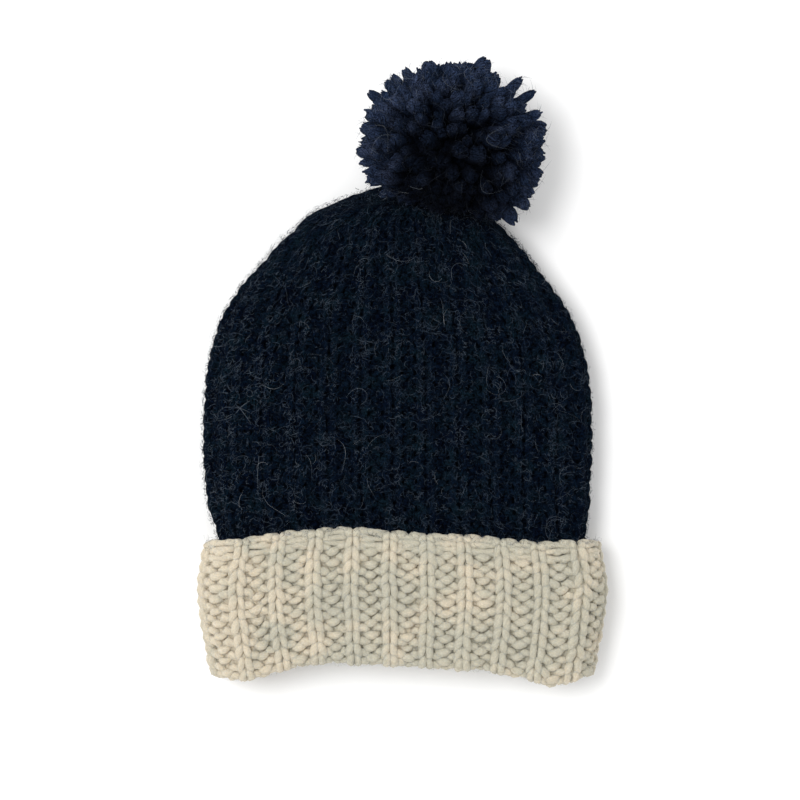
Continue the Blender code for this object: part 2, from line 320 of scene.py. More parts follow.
def crown_face(turn, y):
    """Points in the middle of the crown's knit, at heights above the cuff's fold.

    Above the last of its sections the knit closes over the top, in to the eye.
    """
    sec = {name: eased(CROWN["y"], CROWN[name], y) for name in CROWN if name != "y"}
    sec["y"] = np.minimum(y, CROWN_TOP)
    sec["swing"] = 0.0
    points = knit_place(sec, turn, sec["offset"])
    share = np.clip((y - CROWN_TOP) / CAP_RUN, 0.0, 1.0)[..., None]
    angle = 2.0 * np.pi * np.broadcast_to(turn, points.shape[:-1])[..., None]
    ring = EYE + EYE_CAP_RADIUS * (np.sin(angle) * EYE_SIDE + np.cos(angle) * EYE_UP)
    return points + (ring - points) * share


def crown_place(turn, y, rise):
    """Points of the crown at a rise straight out of the knit."""
    turn, y, rise = np.broadcast_arrays(turn, y, rise)
    points = crown_face(turn, y)
    turn_step, height_step = 0.002, 0.0006
    around = crown_face(turn + turn_step, y) - crown_face(turn - turn_step, y)
    along = crown_face(turn, y + height_step) - crown_face(turn, y - height_step)
    points = points + unit(np.cross(around, along), 1e-15) * rise[..., None]
    keep_off_floor(points)
    return points


def crown_run():
    """Heights of the crown and how far each lies from its foot along the knit's front."""
    rows, columns = 240, 45
    heights = np.linspace(CROWN_FOOT, CROWN_TOP + 0.97 * CAP_RUN, rows)
    turn = np.linspace(-0.22, 0.22, columns)
    points = crown_place(turn[None, :], heights[:, None], np.zeros((rows, columns)))
    steps = np.linalg.norm(np.diff(points, axis=0), axis=2).mean(axis=1)
    return heights, np.concatenate(((0.0,), np.cumsum(steps)))


CROWN_HEIGHTS, CROWN_DISTANCES = crown_run()
CROWN_LENGTH = CROWN_DISTANCES[-1]


def crown_at(turn, distance, rise):
    """Points of the crown at a distance along the knit from its foot."""
    return crown_place(turn, np.interp(distance, CROWN_DISTANCES, CROWN_HEIGHTS), rise)


def crown_size(distance):
    """How large the yarn is along the crown: smaller where it is gathered."""
    y = np.interp(distance, CROWN_DISTANCES, CROWN_HEIGHTS)
    width = eased(CROWN["y"], CROWN["half_width"], y) / (0.5 * CROWN_WIDTH)
    return np.clip(width, 0.3, 1.0) ** 0.6


# Meshes

def add_mesh(name, points, faces, uvs=None):
    """A smooth mesh object from arrays of points and quads."""
    mesh = bpy.data.meshes.new(name)
    mesh.from_pydata(points.reshape(-1, 3).tolist(), [], faces.reshape(-1, 4).tolist())
    if uvs is not None:
        layer = mesh.uv_layers.new(name="UVMap")
        layer.data.foreach_set("uv", uvs.astype(np.float32).ravel())
    mesh.shade_smooth()
    item = bpy.data.objects.new(name, mesh)
    bpy.context.scene.collection.objects.link(item)
    return item


def tube_mesh(paths, radii, outward, sides):
    """Tubes along rows of points, as one set of points, quads and corner UVs.

    paths: (tubes, points, 3). radii: (tubes, points). outward: a direction for each
    point that isn't along its path. The tubes have no caps.
    """
    tubes, count = paths.shape[:2]
    along = unit(np.gradient(paths, axis=1), 1e-12)
    side = unit(np.cross(along, outward), 1e-12)
    up = np.cross(side, along)
    angle = 2.0 * np.pi * np.arange(sides) / sides - 0.5 * np.pi
    ring = (
        side[:, :, None, :] * np.cos(angle)[None, None, :, None]
        + up[:, :, None, :] * np.sin(angle)[None, None, :, None]
    )
    points = paths[:, :, None, :] + ring * radii[:, :, None, None]
    index = np.arange(tubes * count * sides).reshape(tubes, count, sides)
    following = np.roll(index, -1, axis=2)
    quads = np.stack(
        (index[:, :-1], following[:, :-1], following[:, 1:], index[:, 1:]), axis=-1
    )
    steps = np.linalg.norm(np.diff(paths, axis=1), axis=2)
    run = np.concatenate((np.zeros((tubes, 1)), np.cumsum(steps, axis=1)), axis=1)
    run = run + TUBE_UV_GAP * np.arange(tubes)[:, None]
    u = np.broadcast_to(run[:, :, None], (tubes, count, sides))
    v = np.arange(sides) / sides + YARN_TWIST * run[:, :, None]
    v_next = v + 1.0 / sides
    uv = np.stack((
        np.stack((u[:, :-1], v[:, :-1]), -1),
        np.stack((u[:, :-1], v_next[:, :-1]), -1),
        np.stack((u[:, 1:], v_next[:, 1:]), -1),
        np.stack((u[:, 1:], v[:, 1:]), -1),
    ), axis=-2)
    return points.reshape(-1, 3), quads.reshape(-1, 4), uv.reshape(-1, 2)


def ribbon_mesh(paths, widths, outward):
    """Thin flat fibres along rows of points, as one set of points and quads."""
    fibres, count = paths.shape[:2]
    side = unit(np.cross(np.gradient(paths, axis=1), outward), 1e-12)
    half = side * (0.5 * widths)[..., None]
    points = np.stack((paths - half, paths + half), axis=2)
    index = np.arange(fibres * count * 2).reshape(fibres, count, 2)
    quads = np.stack(
        (index[:, :-1, 0], index[:, :-1, 1], index[:, 1:, 1], index[:, 1:, 0]), axis=-1
    )
    return points.reshape(-1, 3), quads.reshape(-1, 4)


def wander(rows, count, spacing):
    """Smooth random waves: in each row, values that change every spacing points or so."""
    knots = int(count / spacing) + 3
    values = chance.normal(0.0, 1.0, (rows, knots))
    at = np.linspace(0.0, knots - 1.001, count)
    low = at.astype(int)
    t = at - low
    t = t * t * (3.0 - 2.0 * t)
    return values[:, low] * (1.0 - t) + values[:, low + 1] * t


# Stitches

def stitch_layout(ribs, phase, knit_share):
    """Centres, widths and signs of the stitches round a knit: one knit, one purl by turns."""
    starts = np.arange(ribs) + phase - 0.5 * knit_share
    purls = starts + knit_share + 0.5 * (1.0 - knit_share)
    centres = np.concatenate((starts + 0.5 * knit_share, purls))
    widths = np.repeat((knit_share, 1.0 - knit_share), ribs) / ribs
    signs = np.repeat((1.0, -1.0), ribs)
    turns = (centres / ribs + 0.5) % 1.0 - 0.5
    order = np.argsort(turns)
    return turns[order], widths[order], signs[order]


def rib_side(turn, ribs, phase, knit_share, softness):
    """+1 in the middle of a knit rib, -1 between ribs, smooth where they meet."""
    place = (turn * ribs - phase + 0.5) % 1.0 - 0.5
    return np.tanh((0.5 * knit_share - np.abs(place)) / softness)


def knit_paths(rows, samples, spec, back):
    """The yarn's middle line, radius and outward direction in rows of half the hat.

    rows: where each row lies along the knit. samples: points of a stitch.
    """
    turns, widths, signs = stitch_layout(spec["ribs"], spec["phase"], spec["knit_share"])
    if back:
        turns = np.where(turns < 0.0, turns + 1.0, turns)
        order = np.argsort(turns)
        turns, widths, signs = turns[order], widths[order], signs[order]
    middle = 0.5 if back else 0.0
    chosen = np.abs(turns - middle) < 0.25 + widths
    turns = turns[chosen][None, :, None]
    widths = widths[chosen][None, :, None]
    knit = (signs[chosen] > 0.0)[None, :, None]
    number, count = len(rows), turns.size
    t = 2.0 * np.pi * np.arange(samples) / samples
    loose = chance.normal(0.0, 1.0, (5, number, count, 1))
    lean = np.where(knit, spec["knit_lean"], spec["purl_lean"]) * (1.0 + UNEVEN_LEAN * loose[0])
    lean = lean + np.where(knit, 0.0, spec["purl_flare"]) * np.cos(t)
    around = turns + widths * (t / (2.0 * np.pi) - 0.5 + lean * np.sin(2.0 * t))
    around = around + widths * UNEVEN_PLACE * loose[1] * np.sin(0.5 * t) ** 2
    flat = np.where(knit, 0.0, PURL_FLATNESS)
    high = -0.5 * spec["loop"] * spec["row"] * (np.cos(t) - flat * np.cos(3.0 * t)) / (1.0 - flat)
    high = high * (1.0 + UNEVEN_HEIGHT * loose[2])
    tilt = np.where(knit, 0.0, spec["tilt"]) * (1.0 + UNEVEN_TILT * loose[4])
    along = rows[:, None, None] + high + tilt * np.sin(t)
    side = rib_side(around, spec["ribs"], spec["phase"], spec["knit_share"], spec["softness"])
    relief = np.where(side > 0.0, spec["knit_relief"], -spec["purl_relief"]) * side
    dip = np.where(side > 0.0, spec["knit_dip"], spec["purl_dip"])
    rise = relief - dip * np.cos(2.0 * t) * side + UNEVEN_RISE * loose[3]
    size = spec["size"](rows)
    rise = rise * size[:, None, None]
    shape = (number, count * samples)
    around, along, rise = (a.reshape(shape) for a in (around, along, rise))
    thick = 1.0 + UNEVEN_YARN * wander(*shape, spacing=7)
    legs = 1.0 + np.where(knit, spec["knit_swell"], spec["purl_swell"]) * np.cos(2.0 * t)
    legs = np.broadcast_to(legs, (number, count, samples)).reshape(shape)
    radii = spec["yarn"] * size[:, None] * thick * legs
    along = along + UNEVEN_ROW * wander(*shape, spacing=40)
    below = spec["edge"] - along
    along = np.where(below > 0.0, spec["edge"] - EDGE_GIVE * below, along)
    path = spec["place"](around, along, rise)
    outward = spec["place"](around, along, rise + SURFACE_STEP) - path
    lost = np.linalg.norm(outward, axis=2) < 0.2 * SURFACE_STEP
    outward[lost] = (0.0, 0.0, -1.0)
    radii[:, 0] = radii[:, -1] = CLOSED_RADIUS
    path[..., 2] += np.maximum(FLOOR_GAP - (path[..., 2] - radii), 0.0)
    return path, radii, outward


# The stitches. lean: how far a loop's shoulders reach past its legs, as a share of the
# stitch, and flare: how much more they do at a purl's foot than at its head. loop: a
# loop's height in rows. dip: half its depth through the knit. relief: how far the middle
# of a column stands out. tilt: how far a purl slants. swell: how much thicker the yarn is
# at a loop's foot and head. edge: the place along the knit where its first loops are held.
CUFF_KNIT = {
    "ribs": CUFF_RIBS, "phase": CUFF_RIB_PHASE, "knit_share": CUFF_KNIT_SHARE, "softness": 0.055,
    "place": cuff_place, "row": CUFF_ROW, "loop": 1.5, "yarn": 0.0021, "size": np.ones_like,
    "knit_lean": 0.175, "knit_dip": 0.0015, "knit_relief": 0.0001, "knit_swell": -0.06,
    "purl_lean": 0.14, "purl_dip": 0.0015, "purl_relief": -0.0010, "purl_swell": 0.15,
    "purl_flare": 0.06, "tilt": 0.0007, "edge": 0.0014,
}
CROWN_KNIT = {
    "ribs": CROWN_RIBS, "phase": CROWN_RIB_PHASE, "knit_share": CROWN_KNIT_SHARE, "softness": 0.07,
    "place": crown_at, "row": CROWN_ROW, "loop": 1.5, "yarn": 0.0023, "size": crown_size,
    "knit_lean": 0.18, "knit_dip": 0.0010, "knit_relief": -0.0001, "knit_swell": -0.05,
    "purl_lean": 0.08, "purl_dip": 0.0008, "purl_relief": -0.0018, "purl_swell": 0.15,
    "purl_flare": 0.0, "tilt": 0.0, "edge": 0.0,
}


def cuff_side(turn, softness=RIB_BLEND):
    """How much places round the cuff lie on its knit ribs, from -1 to +1."""
    return rib_side(turn, CUFF_RIBS, CUFF_RIB_PHASE, CUFF_KNIT_SHARE, softness)


def crown_side(turn):
    """How much places round the crown lie on its knit ribs, from -1 to +1."""
    return rib_side(turn, CROWN_RIBS, CROWN_RIB_PHASE, CROWN_KNIT_SHARE, RIB_BLEND)


def knit_piece(name, spec, rows, samples, sides, back=False):
    """Rows of half the hat as one piece of yarn, on its front or on its back."""
    return add_mesh(name, *tube_mesh(*knit_paths(rows, samples, spec, back), sides))


def shell_piece(name, place, stations, inner, outer, steps, upward=False, lift=0.0):
    """A closed thin sheet under the yarn, so that no gap between loops shows through.

    inner, outer: how far its two faces stand out. lift: how much further the outer one
    does under the cuff's knit ribs. upward: turns the faces' sides round.
    """
    turn = np.arange(steps) / steps
    outer = outer + lift * np.maximum(cuff_side(turn), 0.0)
    forward = [place(turn, np.full(steps, s), outer) for s in stations]
    backward = [place(turn, np.full(steps, s), np.full(steps, inner)) for s in stations[::-1]]
    rings = np.array(forward + backward)
    index = np.arange(len(rings) * steps).reshape(len(rings), steps)
    following = np.roll(index, -1, axis=1)
    below = np.roll(index, -1, axis=0)
    below_following = np.roll(following, -1, axis=0)
    quads = np.stack((index, following, below_following, below), axis=-1)
    return add_mesh(name, rings, quads[..., ::-1] if upward else quads)


# Strands of the cast-on edge. along: their place from the edge. lift: how far they stand
# out over a purl valley. tilt: how much they bow there.
CAST_ON_STRANDS = (
    (0.0012, 0.0008, -0.0005),
    (0.0041, 0.0009, -0.0003),
    (0.0069, 0.0005, 0.0004),
)
CAST_ON_RADIUS = 0.0017
CAST_ON_DIP = 0.0020


def cast_on_piece():
    """The cast-on edge: strands that lie wide over each purl valley."""
    steps = CUFF_RIBS * 20
    turn = np.arange(steps + 1) / steps
    count = len(turn)
    side = cuff_side(turn, 0.07)
    place = (turn * CUFF_RIBS - CUFF_RIB_PHASE) % 1.0 - 0.5
    paths, outs = [], []
    for along, lift, tilt in CAST_ON_STRANDS:
        down = along + tilt * np.cos(2.0 * np.pi * place) + 0.0005 * wander(1, count, spacing=11)[0]
        rise = np.where(side > 0.0, -CAST_ON_DIP, lift) * np.abs(side)
        paths.append(cuff_place(turn, down, rise))
        outs.append(cuff_place(turn, down, rise + SURFACE_STEP) - paths[-1])
    radii = CAST_ON_RADIUS * (1.0 + 0.10 * wander(len(paths), count, spacing=12))
    return add_mesh("cuff_cast_on", *tube_mesh(np.array(paths), radii, np.array(outs), 8))


# Cuff

row_count = int((CUFF_LAYER + FOLD_LENGTH + CUFF_LAYER - COLOUR_CHANGE_DEPTH) / CUFF_ROW)
cuff_rows = CUFF_FIRST_ROW + CUFF_ROW * np.arange(-1, row_count)
lining_start = CUFF_LAYER + FOLD_LENGTH
on_lining = cuff_rows >= lining_start + 0.004
outer_rows = cuff_rows[~on_lining]
lining_rows = cuff_rows[on_lining]
cuff_stations = np.concatenate((
    np.linspace(0.0012, CUFF_LAYER, 14),
    CUFF_LAYER + FOLD_LENGTH * np.array((0.2, 0.4, 0.6, 0.8)),
    np.linspace(lining_start, lining_start + CUFF_LAYER - COLOUR_CHANGE_DEPTH - 0.0004, 12),
))
cuff_pieces = (
    knit_piece("cuff_knit_front", CUFF_KNIT, outer_rows, samples=16, sides=8),
    knit_piece("cuff_knit_back", CUFF_KNIT, outer_rows, samples=12, sides=6, back=True),
    knit_piece("cuff_lining_front", CUFF_KNIT, lining_rows, samples=10, sides=6),
    knit_piece("cuff_lining_back", CUFF_KNIT, lining_rows, samples=10, sides=6, back=True),
    cast_on_piece(),
    shell_piece("cuff_core", cuff_place, cuff_stations, -0.0024, -0.0012, steps=286, lift=0.0024),
)


# Crown

crown_rows_at = np.arange(0.5 * CROWN_ROW + 0.0004, CROWN_LENGTH - 0.004, CROWN_ROW)
crown_stations = np.linspace(0.0004, CROWN_LENGTH, 38)
crown_pieces = (
    knit_piece("crown_knit_front", CROWN_KNIT, crown_rows_at, samples=14, sides=6),
    knit_piece("crown_knit_back", CROWN_KNIT, crown_rows_at, samples=10, sides=5, back=True),
    shell_piece("crown_core", crown_at, crown_stations, -0.0026, -0.0018, steps=200, upward=True),
)


# Pompom

# The pompom's solid reaches up to this share of half its length
POM_TOP_REACH = 0.999
POM_CENTRE = np.array((
    EYE[0] + POM_SHIFT,
    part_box("pompom")[1].y - 0.5 * POM_LENGTH * POM_TOP_REACH,
    0.5 * POM_THICKNESS - POM_SQUASH,
))
# The way to the crown, which the strands keep off, and how far they reach that way
CROWN_SIDE = np.array((-0.285, -0.940, 0.187))
CROWN_SIDE_DEPTH = 0.0335
POM_FLOOR_GAP = 0.0022

# The strands that end at the pompom's outline. right, up: a tip's place from the middle.
# front: how far it lies above the middle. radius: half the strand's thickness.
EDGE_COLUMNS = ("right", "up", "front", "radius")
EDGE_STRANDS = (
    (-0.0512, -0.0012, 0.004, 0.0032),
    (-0.0489, 0.0049, -0.004, 0.0028),
    (-0.0488, 0.0117, 0.003, 0.0028),
    (-0.0462, 0.0187, -0.003, 0.0026),
    (-0.0448, 0.0306, 0.002, 0.0024),
    (-0.0360, 0.0365, 0.004, 0.0026),
    (-0.0322, 0.0400, -0.002, 0.0024),
    (-0.0257, 0.0438, 0.000, 0.0022),
    (-0.0129, 0.0470, 0.005, 0.0040),
    (-0.0062, 0.0456, -0.003, 0.0034),
    (-0.0016, 0.0466, 0.004, 0.0024),
    (0.0029, 0.0468, -0.002, 0.0028),
    (0.0094, 0.0462, 0.003, 0.0034),
    (0.0186, 0.0488, 0.002, 0.0036),
    (0.0238, 0.0414, -0.002, 0.0026),
    (0.0372, 0.0383, 0.006, 0.0021),
    (0.0443, 0.0312, 0.003, 0.0022),
    (0.0478, 0.0200, 0.005, 0.0024),
    (0.0510, 0.0124, -0.002, 0.0034),
    (0.0496, 0.0063, 0.004, 0.0034),
    (0.0497, -0.0034, -0.002, 0.0034),
    (0.0481, -0.0132, 0.004, 0.0030),
    (0.0467, -0.0178, -0.003, 0.0030),
    (0.0434, -0.0245, 0.002, 0.0032),
    (0.0412, -0.0315, 0.004, 0.0030),
    (0.0340, -0.0391, 0.006, 0.0034),
)

# Places at the outline's upper right where the strands leave gaps
EDGE_GAPS = ((0.0300, 0.0400, 0.0), (0.0405, 0.0355, 0.0), (0.0470, 0.0265, 0.0), (0.0500, 0.0170, 0.0))


def pom_reach(direction):
    """The distance from the pompom's middle to its outside, kept off floor and crown."""
    scaled = direction / (0.5 * np.array((POM_WIDTH, POM_LENGTH, POM_THICKNESS)))
    distance = 1.0 / np.linalg.norm(scaled, axis=-1)
    down = np.maximum(-direction[..., 2], 1e-6)
    distance = np.minimum(distance, (POM_CENTRE[2] - POM_FLOOR_GAP) / down)
    back = np.maximum(-(direction @ EYE_AXIS), 1e-6)
    distance = np.minimum(distance, POM_SEAT_DEPTH / back)
    held = np.maximum(direction @ CROWN_SIDE, 1e-6)
    return np.minimum(distance, CROWN_SIDE_DEPTH / held)


def sphere_directions(count, jitter):
    """Directions spread evenly over a sphere, each a little off its place."""
    number = np.arange(count) + 0.5
    polar = np.arccos(1.0 - 2.0 * number / count)
    turned = np.pi * (1.0 + math.sqrt(5.0)) * number
    out = np.sin(polar)
    base = np.stack((np.cos(turned) * out, np.sin(turned) * out, np.cos(polar)), -1)
    return unit(base + chance.normal(0.0, jitter, base.shape))


def strand_layout():
    """Where each strand ends, how thick it is, and how it bends on its way.

    Even strands near one of the outline's own make room for it, and those in the
    outline's gaps are cut short.
    """
    near_edge, near_gap = 0.996, 0.975
    rim_band, gap_reach = 0.45, 0.76
    bow, sway = 0.30, 0.10
    ways = sphere_directions(STRANDS, 0.05)
    reach = pom_reach(ways) * (0.985 - 0.13 * chance.random(STRANDS))
    radii = STRAND_RADIUS * np.exp(chance.normal(0.0, 0.20, STRANDS))
    rightward = ways[:, 0] - 0.3 * ways[:, 1]
    radii = radii * (1.0 + 0.16 * np.clip(rightward, -1.0, 1.0))
    edge = columns_of(EDGE_COLUMNS, EDGE_STRANDS)
    tips = np.stack((edge["right"], edge["up"], edge["front"]), -1)
    edge_reach = np.linalg.norm(tips, axis=1)
    edge_ways = tips / edge_reach[:, None]
    near = (ways @ edge_ways.T).max(axis=1)
    rim = np.abs(ways[:, 2]) < rim_band
    free = ~(rim & (near > near_edge))
    rim_reach = np.where(ways[:, 0] < -0.1, 0.985, 0.96) - 0.05 * chance.random(STRANDS)
    shorter = np.where(rim, rim_reach * pom_reach(ways) / reach, 1.0)
    hollow = (ways @ unit(np.array(EDGE_GAPS)).T).max(axis=1) > near_gap
    shorter = np.where(hollow, gap_reach, shorter)
    ways, radii = ways[free], radii[free]
    reach = (reach * shorter)[free]
    ways = np.concatenate((ways, edge_ways))
    reach = np.concatenate((reach, edge_reach))
    radii = np.concatenate((radii, 1.25 * edge["radius"]))
    spread = ways - (ways @ POM_FRONT)[:, None] * POM_FRONT
    inner = np.arange(len(ways)) < np.sum(free)
    lean = np.where(inner, bow, 0.0)[:, None]
    bend = lean * spread + chance.normal(0.0, sway, ways.shape) * (lean > 0.0)
    return ways, reach, radii, bend


def strand_paths(ways, reach, bend, share):
    """Points along each strand at shares of its reach, bowed most halfway out."""
    out = (share - STRAND_FOOT) / (1.0 - STRAND_FOOT)
    moved = (out**2 - out)[..., None] * bend[:, None, :] * reach[:, None, None]
    return POM_CENTRE + ways[:, None, :] * (reach[:, None] * share)[..., None] + moved


def pompom_strands(layout):
    """Fat soft strands that spread from the middle, each one plied from a few yarns."""
    ways, reach, radii, bend = layout
    share = np.array((0.36, 0.52, 0.66, 0.76, 0.84, 0.90, 0.945, 0.972, 0.988))
    width = np.array((0.55, 0.80, 0.98, 1.05, 1.04, 0.98, 0.86, 0.66, 0.05))
    paths = strand_paths(ways, reach, bend, np.broadcast_to(share, (len(ways), len(share))))
    body, groove, roughness = 0.92, 0.14, 0.05
    size = radii[:, None] * width * body
    outward = np.cross(ways, np.roll(ways, 1, axis=1))[:, None, :] + 0.0 * paths
    keep_off_floor(paths, size)
    sides = 12
    points, faces, uvs = tube_mesh(paths, size, outward, sides)
    shape = (len(ways), len(share), sides)
    angle = 2.0 * np.pi * np.arange(sides) / sides
    plies = 3.0 + (np.arange(len(ways)) % 3)[:, None, None]
    twist = 5.0 * share[None, :, None] + 6.0 * chance.random((len(ways), 1, 1))
    flute = 1.0 + groove * np.cos(plies * (angle + 0.5 * twist))
    flute = flute + roughness * chance.normal(0.0, 1.0, shape)
    rings = points.reshape((*shape, 3))
    middle = paths[:, :, None, :]
    rings = middle + (rings - middle) * flute[..., None]
    keep_off_floor(rings)
    return add_mesh("pompom_strands", rings.reshape(-1, 3), faces, uvs)


def pompom_ends(layout):
    """The frayed yarns at each strand's end: thin, tapered and a little splayed."""
    ways, reach, radii, bend = (np.repeat(a, FRAYS, axis=0) for a in layout)
    count = len(ways)
    share = np.array((0.66, 0.80, 0.90, 0.96, 1.0))
    width = np.array((0.95, 1.0, 0.90, 0.68, 0.42))
    thick = np.array((0.24, 0.30, 0.32, 0.28, 0.12))
    tip = 0.985 + 0.022 * chance.normal(0.0, 1.0, count)[:, None]
    foot = 0.60
    paths = strand_paths(ways, reach, bend, foot + (share - foot) * tip)
    side = unit(np.cross(ways, np.roll(ways, 1, axis=1)))
    other = np.cross(ways, side)
    turn = 2.0 * np.pi * (np.arange(count) % FRAYS) / FRAYS + 0.5 * chance.normal(0.0, 1.0, count)
    cone = chance.normal(0.0, 0.4, count // FRAYS)
    cone[-len(EDGE_STRANDS):] = 0.5
    cone = np.repeat(cone, FRAYS)
    out = (radii * (0.55 + 0.24 * chance.random(count)))[:, None] * width
    out = out * np.maximum(1.0 + 2.2 * (share - share[0]) * cone[:, None], 0.15)
    spin = turn[:, None] + 1.2 * (share - share[0])
    paths = paths + side[:, None, :] * (out * np.cos(spin))[..., None]
    paths = paths + other[:, None, :] * (out * np.sin(spin))[..., None]
    size = radii[:, None] * thick * (0.8 + 0.4 * chance.random(count))[:, None]
    keep_off_floor(paths, size)
    outward = side[:, None, :] + 0.0 * paths
    return add_mesh("pompom_ends", *tube_mesh(paths, size, outward, 5))


def pompom_core():
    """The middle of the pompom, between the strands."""
    rings, steps = 40, 80
    polar = np.linspace(0.02, np.pi - 0.02, rings)
    angle = 2.0 * np.pi * np.arange(steps) / steps
    grid = np.stack((
        np.outer(np.sin(polar), np.cos(angle)),
        np.outer(np.sin(polar), np.sin(angle)),
        np.outer(np.cos(polar), np.ones_like(angle)),
    ), -1)
    points = POM_CENTRE + grid * (pom_reach(grid) * 0.66)[..., None]
    index = np.arange(rings * steps).reshape(rings, steps)
    following = np.roll(index, -1, axis=1)
    quads = np.stack((index[:-1], index[1:], following[1:], following[:-1]), axis=-1)
    return add_mesh("pompom_core", points, quads)


strand_plan = strand_layout()
pom_strands = pompom_strands(strand_plan)
pom_ends = pompom_ends(strand_plan)
pom_core = pompom_core()


# Loose fibres

def fibre_curves(count, points, length, curl):
    """Curly flat paths from the origin: (count, points, 2), in metres."""
    step = length[:, None] / (points - 1)
    heading = chance.random((count, 1)) * 2.0 * np.pi
    turning = chance.normal(0.0, curl, (count, 1))
    turning = turning + np.cumsum(chance.normal(0.0, curl * 0.5, (count, points)), axis=1)
    heading = heading + np.cumsum(turning, axis=1) / points
    x = np.cumsum(np.cos(heading) * step, axis=1)
    y = np.cumsum(np.sin(heading) * step, axis=1)
    return np.stack((x - x[:, :1], y - y[:, :1]), -1)


def tapered(share):
    """A fibre's width along it: full as far as its middle, then thinner to its tip."""
    return np.minimum(1.0, 2.2 - 2.1 * share)


def surface_fibres(name, count, turns, alongs, place, spec):
    """Fine fibres that lie curled on a knit and stand a little off it.

    short, long: how long they are. base, spread: how far out they start. lift: how far
    they rise. ribs: how much further out they lie on the crown's knit ribs.
    """
    points = spec["points"]
    length = spec["short"] + (spec["long"] - spec["short"]) * chance.random(count) ** 2
    curves = fibre_curves(count, points, length, spec["curl"])
    root = chance.random((count, 1)) * spec["spread"] + spec["base"]
    lift = spec["lift"] * chance.random((count, 1)) ** 2
    share = np.linspace(0.0, 1.0, points)
    rise = root + lift * np.sin(0.75 * np.pi * share)
    rise = rise + 0.0001 * chance.normal(0.0, 1.0, (count, points))
    turn_step, along_step = 0.001, 0.0005
    root_at = place(turns, alongs, 0.0)
    beside = place(turns + turn_step, alongs, 0.0) - root_at
    above = place(turns, alongs + along_step, 0.0) - root_at
    round_length = np.linalg.norm(beside, axis=1) / turn_step
    stretch = np.linalg.norm(above, axis=1) / along_step
    around = turns[:, None] + curves[..., 0] / np.maximum(round_length, 0.02)[:, None]
    along = alongs[:, None] + curves[..., 1] / np.clip(stretch, 0.3, 6.0)[:, None]
    rise = rise + spec["ribs"] * crown_side(around)
    paths = place(around, along, rise)
    outward = place(around, along, rise + SURFACE_STEP) - paths
    outward = outward + 0.0006 * chance.normal(0.0, 1.0, (count, 1, 3))
    widths = spec["width"] * (0.6 + 0.7 * chance.random((count, 1))) * tapered(share)
    keep_off_floor(paths)
    return add_mesh(name, *ribbon_mesh(paths, widths, outward))


def crown_spread(count, lumps):
    """Places over the crown, in turns and distances, with more on its ribs, and more at its
    sides as painted sheen that makes its edges lighter.

    lumps: how much closer they lie on the legs and bumps of the stitches.
    """
    start = COLOUR_CHANGE_DEPTH - 0.002
    turns = chance.random(3 * count)
    distances = start + chance.random(3 * count) * (CROWN_LENGTH - start - 0.003)
    heights = np.interp(distances, CROWN_DISTANCES, CROWN_HEIGHTS)
    higher = np.interp(distances + 0.0005, CROWN_DISTANCES, CROWN_HEIGHTS)
    here = crown_face(turns, heights)
    patch = np.cross(crown_face(turns + 0.001, heights) - here, crown_face(turns, higher) - here)
    # Painted sheen: more of the lighter fibres at the crown's sides, so that its edges look lighter
    side = np.exp(-(((turns % 0.5) - 0.25) / 0.035) ** 2)
    weight = np.linalg.norm(patch, axis=1) * (1.0 + 0.25 * side)
    across = turns * CROWN_RIBS - CROWN_RIB_PHASE - 0.25 * CROWN_KNIT_SHARE
    weight *= 1.0 + 0.45 * crown_side(turns)
    weight *= 1.0 + lumps * np.cos(6.0 * np.pi * across)
    weight *= 1.0 + 0.8 * lumps * np.cos(2.0 * np.pi * (distances - crown_rows_at[0]) / CROWN_ROW)
    chosen = chance.choice(3 * count, count, replace=False, p=weight / weight.sum())
    return turns[chosen], distances[chosen]


def crown_hair(name, count, lumps, **spec):
    """Fibres spread over the whole crown."""
    turns, distances = crown_spread(count, lumps)
    return surface_fibres(name, count, turns, distances, crown_at, spec)


def cuff_hair(name, count, start, run, **spec):
    """Fibres all round the cuff, on a run of the knit from start."""
    turns = chance.random(count)
    return surface_fibres(name, count, turns, start + run * chance.random(count), cuff_place, spec)


crown_fibres = crown_hair(
    "crown_fibres", count=270, lumps=0.0, points=12, short=0.006, long=0.024, curl=1.5,
    base=0.0024, spread=0.0012, lift=0.0020, width=0.00009, ribs=0.0003,
)
crown_curls = crown_hair(
    "crown_curls", count=4500, lumps=0.0, points=8, short=0.003, long=0.010, curl=3.4,
    base=0.0018, spread=0.0014, lift=0.0022, width=0.00012, ribs=0.0008,
)
crown_fuzz = crown_hair(
    "crown_fuzz", count=23000, lumps=0.8, points=4, short=0.0014, long=0.0048, curl=2.6,
    base=0.0010, spread=0.0012, lift=0.0016, width=0.00026, ribs=0.0014,
)
cuff_fuzz = cuff_hair(
    "cuff_fuzz", count=4500, start=0.001, run=CUFF_LAYER + 0.009, points=5, short=0.001, long=0.005,
    curl=1.8, base=0.0016, spread=0.0012, lift=0.0012, width=0.00012, ribs=0.0,
)
edge_fuzz = cuff_hair(
    "crown_edge_fuzz", count=900, start=-0.002, run=0.0045, points=6, short=0.002, long=0.007,
    curl=2.4, base=0.0014, spread=0.0016, lift=0.0014, width=0.00010, ribs=0.0,
)


def tuft():
    """A tuft of pale fibres that is caught in the crown's front, low on its left."""
    arms = (
        (-0.012, -0.004), (0.010, 0.006), (0.011, -0.006),
        (-0.006, 0.005), (0.006, -0.010), (-0.016, -0.007),
    )
    points = 9
    share = np.linspace(0.0, 1.0, points)
    paths = []
    for right, up in arms:
        bow = 0.0012 * np.sin(np.pi * share) * chance.normal(0.0, 1.4)
        x = TUFT[0] + right * share + bow
        y = TUFT[1] + up * share - bow
        z = TUFT[2] - 4.0 * (right * share) ** 2
        paths.append(np.stack((x, y, z), -1))
    paths = np.array(paths)
    widths = np.full((len(arms), points), 0.00022) * (1.1 - share)
    outward = np.zeros_like(paths)
    outward[..., 2] = 1.0
    return add_mesh("crown_tuft", *ribbon_mesh(paths, widths, outward))


